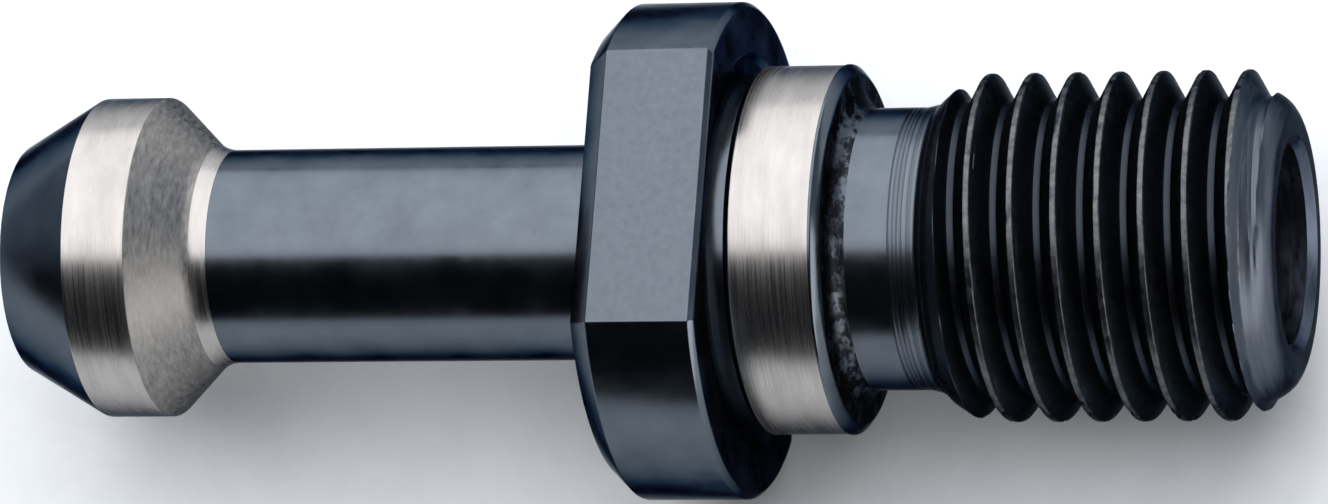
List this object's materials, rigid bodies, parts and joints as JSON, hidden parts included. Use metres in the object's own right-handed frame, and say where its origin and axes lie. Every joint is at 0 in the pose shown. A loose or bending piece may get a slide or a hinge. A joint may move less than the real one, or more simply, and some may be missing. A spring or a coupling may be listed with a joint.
{
  "type": "pull stud",
  "caption": "Turned steel retention knob: a ground pilot and threaded shank screw into a tool holder, a flange takes a wrench, and a necked conical head is gripped and pulled.",
  "frame": {"origin": "on the stud's axis, in the plane of the flange's seating face, which bears on the tool holder", "axes": "+X along the axis from the head to the threaded end; +Z square to the wrench flats, upwards, as the stud lies on its lower flat; +Y completes the right-handed frame"},
  "size_m": [0.0605, 0.023, 0.019],
  "materials": {
    "black_steel": "black oxide, satin, with bright ground bands on the head and the pilot"
  },
  "bodies": {
    "root": {"pull_stud": "black_steel"}
  },
  "joints": []
}
